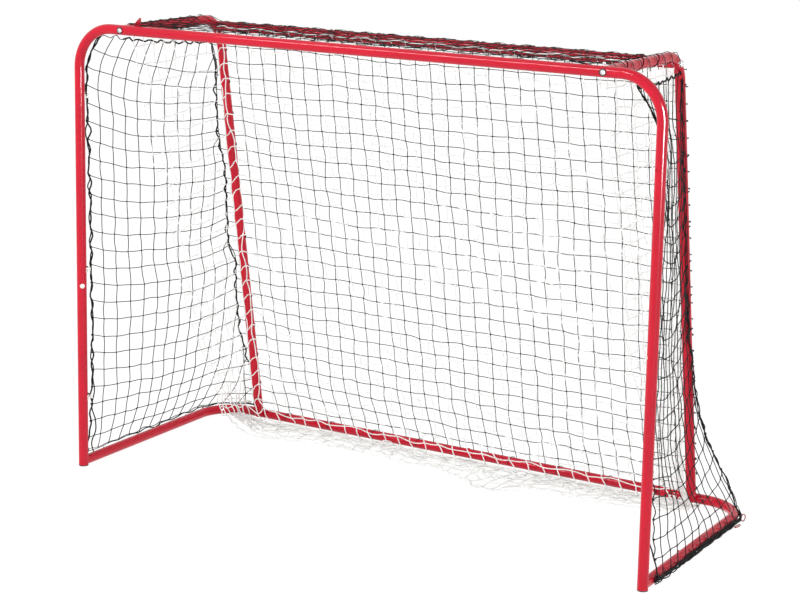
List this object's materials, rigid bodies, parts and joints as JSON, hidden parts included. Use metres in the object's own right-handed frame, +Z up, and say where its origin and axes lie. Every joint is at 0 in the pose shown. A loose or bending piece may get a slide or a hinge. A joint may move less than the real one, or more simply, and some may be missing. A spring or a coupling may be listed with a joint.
{
  "type": "street hockey goal",
  "caption": "Free-standing street hockey goal: plug-together red tube frame with snap buttons, laced black cord nets and a loose white drop net.",
  "frame": {"origin": "middle of the goal's overall box in X and Y, on the ground", "axes": "+X to the right as a player facing the goal sees it, +Y from the mouth to the rear, +Z up; the posts stand at Y = -306.7 mm"},
  "size_m": [1.6236, 0.6485, 1.155],
  "materials": {
    "red_frame": "gloss powder coat",
    "red_button": "gloss paint",
    "spring_steel": "rolled strip",
    "zinc_steel": "zinc plated",
    "black_plastic": "moulded, satin",
    "white_plastic": "moulded, gloss",
    "black_cord": "knotted polyethylene cord",
    "white_cord": "knotted polyamide cord",
    "red_cord": "braided elastic cord"
  },
  "bodies": {
    "goal": {"crossbar_left": "red_frame", "crossbar_right": "red_frame", "post_left": "red_frame", "post_right": "red_frame", "foot_left": "red_frame", "foot_right": "red_frame", "base_corner_left": "red_frame", "base_corner_right": "red_frame", "top_corner_left": "red_frame", "top_corner_right": "red_frame", "upright_left": "red_frame", "upright_right": "red_frame", "top_bar_left": "red_frame", "top_bar_right": "red_frame", "spring_clips": "spring_steel", "foot_caps": "black_plastic", "roof_bolts": "zinc_steel", "roof_washers": "black_plastic", "roof_inserts": "zinc_steel", "top_bar_bolts": "zinc_steel", "top_bar_inserts": "zinc_steel", "post_plug_left": "white_plastic", "post_plug_right": "white_plastic", "net_hooks_left": "white_plastic", "net_hooks_right": "white_plastic", "roof_net": "black_cord", "back_net": "black_cord", "side_net_left": "black_cord", "side_net_right": "black_cord", "drop_net": "white_cord", "drop_net_hem": "white_cord", "post_lacing_left": "black_cord", "post_lacing_right": "black_cord", "roof_lacing_left": "black_cord", "roof_lacing_right": "black_cord", "upright_lacing_left": "black_cord", "upright_lacing_right": "black_cord", "base_ties": "black_cord", "top_bar_ties": "black_cord", "corner_ties": "red_cord"},
    "button_upper_left": {"button_upper_left": "red_button"},
    "button_upper_right": {"button_upper_right": "red_button"},
    "button_lower_left": {"button_lower_left": "red_button"},
    "button_lower_right": {"button_lower_right": "red_button"},
    "button_base_left": {"button_base_left": "red_button"},
    "button_base_right": {"button_base_right": "red_button"},
    "button_upright_left": {"button_upright_left": "red_button"},
    "button_upright_right": {"button_upright_right": "red_button"},
    "button_crossbar": {"button_crossbar": "red_button"},
    "button_rear_bar": {"button_rear_bar": "red_button"},
    "button_top_bar": {"button_top_bar": "red_button"}
  },
  "joints": [
    {"name": "press_upper_left", "type": "slide", "parent": "goal", "child": "button_upper_left", "axis": [-0.4226, 0.9063, 0], "range_m": [0, 0.0041], "stiffness_N_per_m": 900, "springref_m": -0.003, "deforming": ["spring_clips"]},
    {"name": "press_upper_right", "type": "slide", "parent": "goal", "child": "button_upper_right", "axis": [0.4226, 0.9063, 0], "range_m": [0, 0.0041], "stiffness_N_per_m": 900, "springref_m": -0.003, "deforming": ["spring_clips"]},
    {"name": "press_lower_left", "type": "slide", "parent": "goal", "child": "button_lower_left", "axis": [0, -1, 0], "range_m": [0, 0.0041], "stiffness_N_per_m": 900, "springref_m": -0.003, "deforming": ["spring_clips"]},
    {"name": "press_lower_right", "type": "slide", "parent": "goal", "child": "button_lower_right", "axis": [0, -1, 0], "range_m": [0, 0.0041], "stiffness_N_per_m": 900, "springref_m": -0.003, "deforming": ["spring_clips"]},
    {"name": "press_base_left", "type": "slide", "parent": "goal", "child": "button_base_left", "axis": [-0.7071, 0, -0.7071], "range_m": [0, 0.0041], "stiffness_N_per_m": 900, "springref_m": -0.003, "deforming": ["spring_clips"]},
    {"name": "press_base_right", "type": "slide", "parent": "goal", "child": "button_base_right", "axis": [0.7071, 0, -0.7071], "range_m": [0, 0.0041], "stiffness_N_per_m": 900, "springref_m": -0.003, "deforming": ["spring_clips"]},
    {"name": "press_upright_left", "type": "slide", "parent": "goal", "child": "button_upright_left", "axis": [0, 0.9845, 0.1754], "range_m": [0, 0.0041], "stiffness_N_per_m": 900, "springref_m": -0.003, "deforming": ["spring_clips"]},
    {"name": "press_upright_right", "type": "slide", "parent": "goal", "child": "button_upright_right", "axis": [0, 0.9845, 0.1754], "range_m": [0, 0.0041], "stiffness_N_per_m": 900, "springref_m": -0.003, "deforming": ["spring_clips"]},
    {"name": "press_crossbar", "type": "slide", "parent": "goal", "child": "button_crossbar", "axis": [0, -1, 0], "range_m": [0, 0.0041], "stiffness_N_per_m": 900, "springref_m": -0.003, "deforming": ["spring_clips"]},
    {"name": "press_rear_bar", "type": "slide", "parent": "goal", "child": "button_rear_bar", "axis": [0, 0, -1], "range_m": [0, 0.0041], "stiffness_N_per_m": 900, "springref_m": -0.003, "deforming": ["spring_clips"]},
    {"name": "press_top_bar", "type": "slide", "parent": "goal", "child": "button_top_bar", "axis": [0, 0, 1], "range_m": [0, 0.0041], "stiffness_N_per_m": 900, "springref_m": -0.003, "deforming": ["spring_clips"]}
  ]
}
